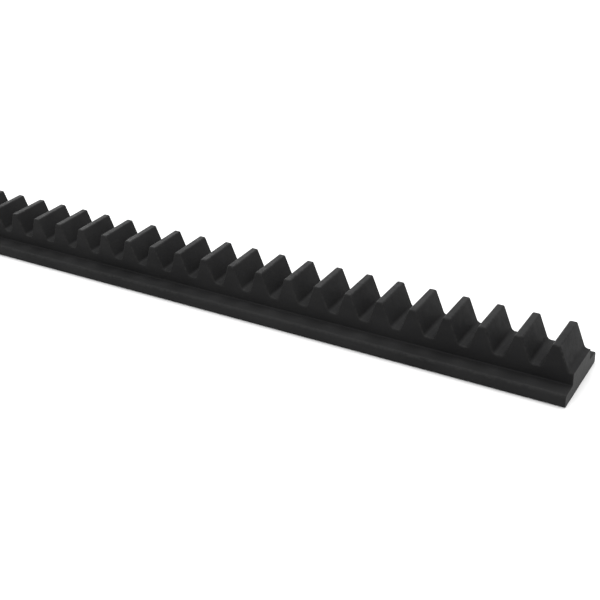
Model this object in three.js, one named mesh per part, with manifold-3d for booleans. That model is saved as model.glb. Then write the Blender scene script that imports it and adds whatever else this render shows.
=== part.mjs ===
// A straight moulded gear rack, module 4, 20 degree pressure angle.
// The bar has an inverted T section: a toothed web stands on a thin, wider foot.
// The foot slides into a channel, whose lips hold the two flanges down.
// X runs along the rack, Y across the face width, Z up. Z = 0 is the underside of the foot.
import * as THREE from "three";
import { mergeVertices } from "three/addons/utils/BufferGeometryUtils.js";
import Module from "manifold-3d";

// Tooth system, in millimetres
const MODULE = 4;
const TEETH = 24;
const PRESSURE_ANGLE = (20 * Math.PI) / 180;
const PITCH = Math.PI * MODULE;
const ADDENDUM = 1.0 * MODULE;
const DEDENDUM = 1.25 * MODULE;
const TOOTH_THICKNESS = 5.5; // at the pitch line; the rest of half a pitch is backlash
const TIP_RADIUS = 0.7;
const ROOT_RADIUS = 0.38 * MODULE;

// Section, in millimetres
const LENGTH = TEETH * PITCH;
const HEIGHT = 18;
const FACE_WIDTH = 17;
const FOOT_WIDTH = 30;
const FOOT_THICKNESS = 4.5;
const FOOT_TOP_RADIUS = 1.3;
const FOOT_BOTTOM_RADIUS = 0.6;
const WEB_FILLET = 0.5;

// Steps in each rounded corner
const CORNER_STEPS = 4;
const ROOT_STEPS = 5;

const PITCH_LINE = HEIGHT - ADDENDUM;
const ROOT_LINE = PITCH_LINE - DEDENDUM;

const wasm = await Module();
wasm.setup();

// Rounds corner b of the path a, b, c with the given radius, and returns the arc's points.
function roundedCorner(a, b, c, radius, steps) {
  const toA = a.clone().sub(b).normalize();
  const toC = c.clone().sub(b).normalize();
  const half = Math.acos(THREE.MathUtils.clamp(toA.dot(toC), -1, 1)) / 2;
  const centre = toA.clone().add(toC).normalize().multiplyScalar(radius / Math.sin(half)).add(b);
  const reach = radius / Math.tan(half);
  const first = toA.multiplyScalar(reach).add(b).sub(centre);
  const last = toC.multiplyScalar(reach).add(b).sub(centre);
  const start = first.angle();
  let sweep = last.angle() - start;
  if (sweep > Math.PI) sweep -= 2 * Math.PI;
  if (sweep < -Math.PI) sweep += 2 * Math.PI;
  const points = [];
  for (let i = 0; i <= steps; i++) {
    const angle = start + (sweep * i) / steps;
    points.push(new THREE.Vector2(Math.cos(angle), Math.sin(angle)).multiplyScalar(radius).add(centre));
  }
  return points;
}

// Each corner is [x, y, radius, steps]; a radius of 0 keeps the corner sharp.
function roundedOutline(corners) {
  const at = (i) => new THREE.Vector2(...corners[(i + corners.length) % corners.length].slice(0, 2));
  return corners.flatMap(([, , radius, steps], i) =>
    radius ? roundedCorner(at(i - 1), at(i), at(i + 1), radius, steps) : [at(i)],
  );
}

// An outline extruded by depth along +Z, then turned by the matrix.
function extruded(outline, depth, matrix) {
  const shape = new THREE.Shape(outline);
  return new THREE.ExtrudeGeometry(shape, { depth, bevelEnabled: false, steps: 1 }).applyMatrix4(matrix);
}

function toSolid(geometry) {
  const bare = geometry.clone();
  bare.deleteAttribute("normal");
  bare.deleteAttribute("uv");
  const merged = mergeVertices(bare, 1e-4);
  return new wasm.Manifold(
    new wasm.Mesh({
      numProp: 3,
      vertProperties: merged.attributes.position.array,
      triVerts: new Uint32Array(merged.index.array),
    }),
  );
}

function toGeometry(solid) {
  const made = solid.getMesh();
  const geometry = new THREE.BufferGeometry();
  geometry.setAttribute("position", new THREE.BufferAttribute(new Float32Array(made.vertProperties), 3));
  geometry.setIndex(new THREE.BufferAttribute(new Uint32Array(made.triVerts), 1));
  geometry.computeVertexNormals();
  return geometry;
}

// The inverted T, seen along the rack: x of the outline is across the face, y of it is height.
function sectionOutline() {
  const foot = FOOT_WIDTH / 2;
  const web = FACE_WIDTH / 2;
  const top = HEIGHT + 1;
  return roundedOutline([
    [-foot, 0, FOOT_BOTTOM_RADIUS, CORNER_STEPS],
    [foot, 0, FOOT_BOTTOM_RADIUS, CORNER_STEPS],
    [foot, FOOT_THICKNESS, FOOT_TOP_RADIUS, CORNER_STEPS],
    [web, FOOT_THICKNESS, WEB_FILLET, CORNER_STEPS],
    [web, top, 0, 0],
    [-web, top, 0, 0],
    [-web, FOOT_THICKNESS, WEB_FILLET, CORNER_STEPS],
    [-foot, FOOT_THICKNESS, FOOT_TOP_RADIUS, CORNER_STEPS],
  ]);
}

// The toothed edge, seen across the rack. Both ends are cut through the middle of a tooth space,
// so two racks butt together without losing the pitch.
function toothOutline() {
  const tan = Math.tan(PRESSURE_ANGLE);
  const tipHalf = TOOTH_THICKNESS / 2 - ADDENDUM * tan;
  const footHalf = TOOTH_THICKNESS / 2 + DEDENDUM * tan;
  const corners = [
    [LENGTH / 2, -1, 0, 0],
    [LENGTH / 2, ROOT_LINE, 0, 0],
  ];
  for (let i = TEETH - 1; i >= 0; i--) {
    const x = (i + 0.5 - TEETH / 2) * PITCH;
    corners.push([x + footHalf, ROOT_LINE, ROOT_RADIUS, ROOT_STEPS]);
    corners.push([x + tipHalf, HEIGHT, TIP_RADIUS, CORNER_STEPS]);
    corners.push([x - tipHalf, HEIGHT, TIP_RADIUS, CORNER_STEPS]);
    corners.push([x - footHalf, ROOT_LINE, ROOT_RADIUS, ROOT_STEPS]);
  }
  corners.push([-LENGTH / 2, ROOT_LINE, 0, 0]);
  corners.push([-LENGTH / 2, -1, 0, 0]);
  return roundedOutline(corners);
}

// The section extruded along X, over the length of the rack and 1 mm past each end.
const alongX = new THREE.Matrix4()
  .makeBasis(new THREE.Vector3(0, 1, 0), new THREE.Vector3(0, 0, 1), new THREE.Vector3(1, 0, 0))
  .setPosition(-LENGTH / 2 - 1, 0, 0);
const bar = toSolid(extruded(sectionOutline(), LENGTH + 2, alongX));

// The toothed edge extruded across the foot and 1 mm past each side of it.
const acrossY = new THREE.Matrix4()
  .makeBasis(new THREE.Vector3(1, 0, 0), new THREE.Vector3(0, 0, 1), new THREE.Vector3(0, -1, 0))
  .setPosition(0, FOOT_WIDTH / 2 + 1, 0);
const toothed = toSolid(extruded(toothOutline(), FOOT_WIDTH + 2, acrossY));

const blackPolymer = new THREE.MeshStandardMaterial({
  name: "black_polymer",
  color: 0x1b1b1c,
  roughness: 0.5,
  metalness: 0,
});

const rack = new THREE.Mesh(toGeometry(bar.intersect(toothed)), blackPolymer);
rack.name = "rack_bar";

const part = new THREE.Group();
part.name = "gear_rack";
part.add(rack);

export default part;
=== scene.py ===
"""A black moulded gear rack on a pale floor.

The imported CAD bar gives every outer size. This script builds the same bar again as one smooth mesh
with rounded tooth edges, a moulded surface and sawn ends, and lights it as a product picture.
Everything is in metres: X along the rack, Y across the face, Z up.
"""

import math

import bpy
from mathutils import Matrix, Vector


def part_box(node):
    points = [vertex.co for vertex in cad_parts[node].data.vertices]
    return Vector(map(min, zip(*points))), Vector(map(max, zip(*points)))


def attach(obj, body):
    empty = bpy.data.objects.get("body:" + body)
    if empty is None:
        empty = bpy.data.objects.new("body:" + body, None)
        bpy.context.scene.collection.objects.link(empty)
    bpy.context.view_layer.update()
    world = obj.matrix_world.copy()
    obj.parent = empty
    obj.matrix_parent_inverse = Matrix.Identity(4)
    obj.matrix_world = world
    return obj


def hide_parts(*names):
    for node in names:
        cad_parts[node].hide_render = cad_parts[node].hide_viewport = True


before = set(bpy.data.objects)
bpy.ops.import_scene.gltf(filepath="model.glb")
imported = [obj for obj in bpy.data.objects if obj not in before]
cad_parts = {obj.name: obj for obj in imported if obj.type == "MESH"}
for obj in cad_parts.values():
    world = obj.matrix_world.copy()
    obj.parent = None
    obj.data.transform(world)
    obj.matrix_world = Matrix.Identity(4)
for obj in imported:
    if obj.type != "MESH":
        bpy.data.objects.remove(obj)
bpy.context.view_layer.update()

NODE = "rack_bar"
BODY = "root"

# Tooth system, the same as the CAD bar's
MODULE = 0.004
PITCH = math.pi * MODULE
PRESSURE_ANGLE = math.radians(20)
ADDENDUM = 1.0 * MODULE
DEDENDUM = 1.25 * MODULE
TOOTH_THICKNESS = 0.0055  # at the pitch line
TIP_RADIUS = 0.0007
ROOT_RADIUS = 0.38 * MODULE

# Section, the same as the CAD bar's
FACE_WIDTH = 0.017
FOOT_THICKNESS = 0.0045
FOOT_TOP_RADIUS = 0.0013
FOOT_BOTTOM_RADIUS = 0.0006
WEB_FILLET = 0.0005

# Edges that the CAD bar leaves sharp
SIDE_RADIUS = 0.0006
END_CHAMFER = 0.00015

# Outer sizes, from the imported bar
LOW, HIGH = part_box(NODE)
LENGTH = HIGH.x - LOW.x
HEIGHT = HIGH.z - LOW.z
FOOT_WIDTH = HIGH.y - LOW.y
TEETH = round(LENGTH / PITCH)
ROOT_LINE = HEIGHT - ADDENDUM - DEDENDUM

# Steps in the mesh
ROOT_STEPS = 7
TIP_STEPS = 6
FLANK_STEPS = 5
FOOT_STEPS = 8
SIDE_STEPS = 6


# ---------------------------------------------------------------- the tooth profile

def arc(centre, radius, start, end, steps):
    """Points on a round stretch, each with its outward normal and its share of edge wear and painted edge
    highlight.

    A concave stretch has a negative radius and neither wear nor painted highlight.
    """
    out = []
    for i in range(steps + 1):
        a = start + (end - start) * i / steps
        direction = Vector((math.cos(a), math.sin(a)))
        normal = direction if radius > 0 else -direction
        wear_and_highlight = math.sin(math.pi * i / steps) if radius > 0 else 0.0
        out.append((centre + direction * abs(radius), normal, wear_and_highlight))
    return out


def half_tooth():
    """The left half of a tooth, from its root to the middle of its tip land, in X and Z."""
    tan = math.tan(PRESSURE_ANGLE)
    tip_half = TOOTH_THICKNESS / 2 - ADDENDUM * tan
    foot_half = TOOTH_THICKNESS / 2 + DEDENDUM * tan
    turn = math.pi / 2 - PRESSURE_ANGLE
    tip_reach = TIP_RADIUS * math.tan(turn / 2)
    root_reach = ROOT_RADIUS * math.tan(turn / 2)
    up = math.pi / 2
    root_centre = Vector((-foot_half - root_reach, ROOT_LINE + ROOT_RADIUS))
    tip_centre = Vector((-tip_half + tip_reach, HEIGHT - TIP_RADIUS))
    root = arc(root_centre, -ROOT_RADIUS, -up, -up + turn, ROOT_STEPS)
    tip = arc(tip_centre, TIP_RADIUS, up + turn, up, TIP_STEPS)
    low, normal, _ = root[-1]
    high = tip[0][0]
    flank = [(low.lerp(high, i / FLANK_STEPS), normal, 0.0) for i in range(1, FLANK_STEPS)]
    return root + flank + tip + [(Vector((0, HEIGHT)), Vector((0, 1)), 0.0)]


def tooth_profile():
    """The toothed edge from left to right, as (point, outward normal, edge wear and painted highlight) in
    X and Z.
    """
    left = half_tooth()
    right = []
    for point, normal, wear_and_highlight in reversed(left[:-1]):
        right.append((Vector((-point.x, point.y)), Vector((-normal.x, normal.y)), wear_and_highlight))
    level = Vector((0, 1))
    points = [
        (Vector((-LENGTH / 2, ROOT_LINE)), level, 0.0),
        (Vector((-LENGTH / 2 + END_CHAMFER, ROOT_LINE)), level, 0.0),
    ]
    for i in range(TEETH):
        shift = Vector(((i + 0.5 - TEETH / 2) * PITCH, 0))
        points += [(p + shift, n, wear_and_highlight) for p, n, wear_and_highlight in left + right]
    points.append((Vector((LENGTH / 2 - END_CHAMFER, ROOT_LINE)), level, 0.0))
    points.append((Vector((LENGTH / 2, ROOT_LINE)), level, 0.0))
    return points


# ---------------------------------------------------------------- the section

def half_foot():
    """Half of the section below the teeth, in Y and Z.

    It runs from the middle of the underside to the web's side.
    """
    foot = FOOT_WIDTH / 2
    web = FACE_WIDTH / 2
    low = FOOT_BOTTOM_RADIUS
    high = FOOT_TOP_RADIUS
    fillet = WEB_FILLET
    turn = math.pi / 2
    out = [(Vector((0, 0)), Vector((0, -1)), 0.0)]
    out += arc(Vector((foot - low, low)), low, -turn, 0, FOOT_STEPS)
    out += arc(Vector((foot - high, FOOT_THICKNESS - high)), high, 0, turn, FOOT_STEPS)
    out += arc(Vector((web + fillet, FOOT_THICKNESS + fillet)), -fillet, -turn, -2 * turn, FOOT_STEPS)
    return out


FOOT_OUTLINE = half_foot()
WEB_START = len(FOOT_OUTLINE) - FOOT_STEPS - 1


def station_loop(point, normal, wear_and_highlight, inset):
    """One closed loop round the bar at a point of the tooth profile, as (position, edge wear and painted
    highlight) pairs.

    It runs from the middle of the underside up the foot and the web's side, round the tooth edge and
    over the top, then back down the other side as a mirror image.
    """
    x_top, z_top = point
    centre_x = x_top - normal.x * SIDE_RADIUS
    centre_z = z_top - normal.y * SIDE_RADIUS
    side = [((centre_x, p.x - n.x * inset, p.y - n.y * inset), w) for p, n, w in FOOT_OUTLINE]
    web_foot = side[-1][0][2]
    for share in (1 / 3, 2 / 3):
        z = web_foot + (centre_z - web_foot) * share
        side.append(((centre_x, FACE_WIDTH / 2 - inset, z), 0.0))
    for i in range(SIDE_STEPS + 1):
        a = (math.pi / 2) * i / SIDE_STEPS
        reach = (SIDE_RADIUS - inset) * math.sin(a)
        y = FACE_WIDTH / 2 - SIDE_RADIUS + (SIDE_RADIUS - inset) * math.cos(a)
        rounded = max(math.sin(math.pi * i / SIDE_STEPS), wear_and_highlight * math.sin(a))
        side.append(((centre_x + normal.x * reach, y, centre_z + normal.y * reach), rounded))
    x = x_top - normal.x * inset
    z = z_top - normal.y * inset
    side.append(((x, FACE_WIDTH / 4, z), wear_and_highlight))
    mirror = [((px, -py, pz), w) for (px, py, pz), w in reversed(side[1:])]
    return side + [((x, 0.0, z), wear_and_highlight)] + mirror


def end_cap(first, count, outward):
    """An end face as two polygons, the foot and the web, that share the line between them."""
    foot = [*range(WEB_START + 1), *range(count - WEB_START, count)]
    web = list(range(WEB_START, count - WEB_START + 1))
    caps = []
    for ring in (foot, web):
        face = [first + k for k in ring]
        caps.append(tuple(face if outward else reversed(face)))
    return caps


def point_attribute(mesh, name, values):
    attribute = mesh.attributes.new(name, "FLOAT", "POINT")
    attribute.data.foreach_set("value", values)


def build_bar():
    """The whole bar: a loop at each point of the tooth profile, joined by quads, with two end caps."""
    profile = tooth_profile()
    last = len(profile) - 1
    loops = []
    for i, (point, normal, wear_and_highlight) in enumerate(profile):
        inset = END_CHAMFER if i in (0, last) else 0.0
        loops.append(station_loop(point, normal, wear_and_highlight, inset))
    count = len(loops[0])
    vertices = [position for loop in loops for position, _ in loop]
    faces = []
    for s in range(last):
        for k in range(count):
            a = s * count + k
            b = s * count + (k + 1) % count
            faces.append((a, b, b + count, a + count))
    faces += end_cap(0, count, False)
    faces += end_cap(last * count, count, True)
    edge_wear_and_highlight = [wear_and_highlight for loop in loops for _, wear_and_highlight in loop]
    sawn = [1.0] * count + [0.0] * (count * (last - 1)) + [1.0] * count
    mesh = bpy.data.meshes.new("toothed_bar")
    mesh.from_pydata(vertices, [], faces)
    # Each point's share of rubbed edge wear and of a painted highlight along the rounded edges
    point_attribute(mesh, "edge_wear_and_highlight", edge_wear_and_highlight)
    point_attribute(mesh, "sawn", sawn)
    mesh.update()
    mesh.shade_smooth()
    bar = bpy.data.objects.new("toothed_bar", mesh)
    bpy.context.scene.collection.objects.link(bar)
    weighted = bar.modifiers.new("flat_faces_stay_flat", "WEIGHTED_NORMAL")
    weighted.mode = "FACE_AREA"
    weighted.weight = 100
    weighted.keep_sharp = True
    return bar


# ---------------------------------------------------------------- the material

NOISE_ROUGHNESS = 0.55


class Nodes:
    """Short calls that add shader nodes to one material and return their output sockets.

    Math and Mix nodes name several sockets alike, so theirs are given by number.
    """

    def __init__(self, tree):
        self.tree = tree

    def add(self, kind, inputs, **settings):
        node = self.tree.nodes.new(kind)
        for name, value in settings.items():
            setattr(node, name, value)
        for name, value in inputs.items():
            if isinstance(value, bpy.types.NodeSocket):
                self.tree.links.new(value, node.inputs[name])
            else:
                node.inputs[name].default_value = value
        return node

    def attribute(self, name):
        return self.add("ShaderNodeAttribute", {}, attribute_name=name).outputs["Fac"]

    def stretched(self, vector, share):
        """The vector with X scaled by share, so that features are drawn out along the rack."""
        inputs = {"Vector": vector, "Scale": (share, 1, 1)}
        return self.add("ShaderNodeMapping", inputs).outputs["Vector"]

    def noise(self, vector, size, detail):
        """Noise from 0 to 1 whose features are about size metres across."""
        inputs = {"Vector": vector, "Scale": 1 / size, "Detail": detail}
        inputs["Roughness"] = NOISE_ROUGHNESS
        return self.add("ShaderNodeTexNoise", inputs).outputs["Fac"]

    def remap(self, value, low, high, to_low=0.0, to_high=1.0):
        inputs = {"Value": value, "From Min": low, "From Max": high}
        inputs |= {"To Min": to_low, "To Max": to_high}
        return self.add("ShaderNodeMapRange", inputs, clamp=True).outputs["Result"]

    def math(self, operation, a, b):
        return self.add("ShaderNodeMath", {0: a, 1: b}, operation=operation).outputs[0]

    def mix_colour(self, factor, a, b):
        return self.add("ShaderNodeMix", {0: factor, 6: a, 7: b}, data_type="RGBA").outputs[2]

    def mix_value(self, factor, a, b):
        return self.add("ShaderNodeMix", {0: factor, 2: a, 3: b}, data_type="FLOAT").outputs[0]

    def bump(self, height, distance, normal=None):
        inputs = {"Height": height, "Distance": distance, "Strength": 1.0}
        if normal is not None:
            inputs["Normal"] = normal
        return self.add("ShaderNodeBump", inputs).outputs["Normal"]


# Colours
DEEP_BLACK = (0.0108, 0.0108, 0.0111, 1)
PALER_BLACK = (0.0158, 0.0158, 0.0161, 1)
# Paler black for the rounded edges: partly rubbed wear, partly a painted highlight
RUBBED_AND_HIGHLIT = (0.0185, 0.0185, 0.0183, 1)
SAW_CUT = (0.034, 0.034, 0.034, 1)

# How far features lie apart, in metres
GRAIN_SIZE = 0.00028
FLECK_SIZE = 0.00016
PEBBLE_SIZE = 0.0011
FLOW_SIZE = 0.003
MOTTLE_SIZE = 0.014
SAW_PITCH = 0.0005
SAW_DRIFT = 0.8 * SAW_PITCH

# The saw blade's centre, and how rough its 1-D noise is
SAW_CENTRE = (0.0, -0.07, 0.05)
SAW_NOISE_ROUGHNESS = 0.6

# Scale along the rack: under 1 draws features out
FLOW_STRETCH = 0.12
MOTTLE_STRETCH = 0.5
FLECK_STRETCH = 0.35

# Noise values at which a pattern starts and is full
MOTTLE_RANGE = (0.35, 0.65)
RUBBED_AND_HIGHLIT_RANGE = (0.42, 0.62)
FLECK_RANGE = (0.66, 0.76)
SAW_RANGE = (0.3, 0.7)
FLOW_RANGE = (0.3, 0.7)

# Depth of the relief, in metres
MOTTLE_RELIEF = 0.00006
FLOW_RELIEF = 0.00002
PEBBLE_RELIEF = 0.00004
GRAIN_RELIEF = 0.000018
SAW_RELIEF = 0.00005

# Finish
SMOOTHEST = 0.56
ROUGHEST = 0.68
RUBBED_ROUGHNESS = 0.52
SAWN_ROUGHNESS = 0.6
SPECULAR_LEVEL = 0.085
LEAST_SAWN_SHARE = 0.65  # of the saw-cut colour, in the darkest marks


def black_polymer():
    """Moulded nylon: a fine spark-eroded grain, faint flow marks, rubbed edges with a painted highlight,
    and sawn end faces.
    """
    material = bpy.data.materials.new("black_polymer_moulded")
    material.use_nodes = True
    n = Nodes(material.node_tree)
    place = n.add("ShaderNodeTexCoord", {}).outputs["Object"]
    wear_and_highlight = n.attribute("edge_wear_and_highlight")
    sawn = n.attribute("sawn")

    grain = n.noise(place, GRAIN_SIZE, detail=3)
    pebble = n.noise(place, PEBBLE_SIZE, detail=3)
    flow = n.noise(n.stretched(place, FLOW_STRETCH), FLOW_SIZE, detail=2)
    mottle = n.noise(n.stretched(place, MOTTLE_STRETCH), MOTTLE_SIZE, detail=3)
    fleck = n.noise(n.stretched(place, FLECK_STRETCH), FLECK_SIZE, detail=1)

    # Saw marks: shallow arcs round the blade's centre, unevenly spaced and broken up by the pebbling
    reach = n.add("ShaderNodeVectorMath", {0: place, 1: SAW_CENTRE}, operation="DISTANCE").outputs["Value"]
    drift = n.math("MULTIPLY", pebble, SAW_DRIFT)
    arcs = {"W": n.math("ADD", reach, drift), "Scale": 1 / SAW_PITCH, "Detail": 3}
    arcs["Roughness"] = SAW_NOISE_ROUGHNESS
    saw = n.add("ShaderNodeTexNoise", arcs, noise_dimensions="1D").outputs["Fac"]

    # Colour: black with slow mottling, paler where flecked or sawn, and paler along rounded edges, partly
    # rubbed wear and partly a painted highlight
    body_colour = n.mix_colour(n.remap(mottle, *MOTTLE_RANGE), DEEP_BLACK, PALER_BLACK)
    # Lightens the rounded edges: partly rubbed wear, partly a painted highlight
    rubbed_and_highlit = n.math("MULTIPLY", wear_and_highlight, n.remap(pebble, *RUBBED_AND_HIGHLIT_RANGE))
    pale = n.math("MAXIMUM", rubbed_and_highlit, n.remap(fleck, *FLECK_RANGE))
    coloured = n.mix_colour(pale, body_colour, RUBBED_AND_HIGHLIT)
    cut_share = n.math("MULTIPLY", sawn, n.remap(saw, *SAW_RANGE, LEAST_SAWN_SHARE, 1.0))
    shader = material.node_tree.nodes["Principled BSDF"]
    links = material.node_tree.links
    links.new(n.mix_colour(cut_share, coloured, SAW_CUT), shader.inputs["Base Color"])

    # Roughness: satin with flow marks, smoother where rubbed
    satin = n.remap(flow, *FLOW_RANGE, SMOOTHEST, ROUGHEST)
    polished = n.mix_value(rubbed_and_highlit, satin, RUBBED_ROUGHNESS)
    links.new(n.mix_value(sawn, polished, SAWN_ROUGHNESS), shader.inputs["Roughness"])

    # Relief
    moulded = n.bump(mottle, MOTTLE_RELIEF, n.bump(flow, FLOW_RELIEF))
    pebbled = n.bump(pebble, PEBBLE_RELIEF, moulded)
    grained = n.bump(grain, GRAIN_RELIEF, pebbled)
    cut = n.bump(n.math("MULTIPLY", saw, sawn), SAW_RELIEF, grained)
    links.new(cut, shader.inputs["Normal"])

    shader.inputs["Specular IOR Level"].default_value = SPECULAR_LEVEL
    return material


# ---------------------------------------------------------------- floor, light and camera

FLOOR_HALF_SIZE = 40.0
FLOOR_COLOUR = (0.7, 0.7, 0.7, 1)
FLOOR_ROUGHNESS = 0.9

WORLD_STRENGTH = 1.0
SUN_STRENGTH = 2.6
SUN_ANGLE = math.radians(45)
SUN_FROM = (0.1, 0.2, 1.2)
CARD_PLACE = (-1.2, 1.0, 0.65)
CARD_SIZE = (1.6, 0.8)
CARD_POWER = 18


def stage_floor():
    mesh = bpy.data.meshes.new("floor")
    half = FLOOR_HALF_SIZE
    corners = [(-half, -half, 0), (half, -half, 0), (half, half, 0), (-half, half, 0)]
    mesh.from_pydata(corners, [], [(0, 1, 2, 3)])
    floor = bpy.data.objects.new("floor", mesh)
    bpy.context.scene.collection.objects.link(floor)
    material = bpy.data.materials.new("pale_floor")
    material.use_nodes = True
    shader = material.node_tree.nodes["Principled BSDF"]
    shader.inputs["Base Color"].default_value = FLOOR_COLOUR
    shader.inputs["Roughness"].default_value = FLOOR_ROUGHNESS
    shader.inputs["Specular IOR Level"].default_value = 0.0
    mesh.materials.append(material)


def white_world():
    world = bpy.data.worlds.new("studio")
    world.use_nodes = True
    background = world.node_tree.nodes["Background"]
    background.inputs["Color"].default_value = (1, 1, 1, 1)
    background.inputs["Strength"].default_value = WORLD_STRENGTH
    bpy.context.scene.world = world


def overhead_sun():
    """A very wide sun, so that shadows stay soft and the floor is lit evenly."""
    data = bpy.data.lights.new("overhead", "SUN")
    data.energy = SUN_STRENGTH
    data.angle = SUN_ANGLE
    light = bpy.data.objects.new("overhead", data)
    light.rotation_euler = Vector(SUN_FROM).to_track_quat("Z", "Y").to_euler()
    bpy.context.scene.collection.objects.link(light)


def rear_card():
    """An area light behind the left end, aimed at the origin and unseen by the camera."""
    data = bpy.data.lights.new("rear_card", "AREA")
    data.shape = "RECTANGLE"
    data.size, data.size_y = CARD_SIZE
    data.energy = CARD_POWER
    light = bpy.data.objects.new("rear_card", data)
    light.location = CARD_PLACE
    light.rotation_euler = (-Vector(CARD_PLACE)).to_track_quat("-Z", "Y").to_euler()
    light.visible_camera = False
    bpy.context.scene.collection.objects.link(light)


# The camera looks along the rack from the right-hand end, in front of it and above it.
AZIMUTH = math.radians(33.64)
ELEVATION = math.radians(29.36)
ROLL = math.radians(-3.96)
LENS = 60.8
SENSOR_WIDTH = 36
CLIP_START = 0.01
DISTANCE = 0.3719
AIM_FROM_END = 0.1036
AIM_ACROSS = -0.0055
AIM = Vector((HIGH.x - AIM_FROM_END, AIM_ACROSS, ROOT_LINE))


def place_camera():
    forward = Vector((
        -math.sin(AZIMUTH) * math.cos(ELEVATION),
        math.cos(AZIMUTH) * math.cos(ELEVATION),
        -math.sin(ELEVATION),
    ))
    level_right = Vector((math.cos(AZIMUTH), math.sin(AZIMUTH), 0))
    right = Matrix.Rotation(-ROLL, 3, forward) @ level_right
    up = right.cross(forward)
    data = bpy.data.cameras.new("camera")
    data.lens = LENS
    data.sensor_width = SENSOR_WIDTH
    data.clip_start = CLIP_START
    camera = bpy.data.objects.new("camera", data)
    turn = Matrix((right, up, -forward)).transposed()
    camera.matrix_world = Matrix.Translation(AIM - forward * DISTANCE) @ turn.to_4x4()
    bpy.context.scene.collection.objects.link(camera)
    bpy.context.scene.camera = camera


bar = build_bar()
bar.data.materials.append(black_polymer())
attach(bar, BODY)
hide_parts(NODE)

stage_floor()
white_world()
overhead_sun()
rear_card()
place_camera()
bpy.context.scene.view_settings.view_transform = "Standard"
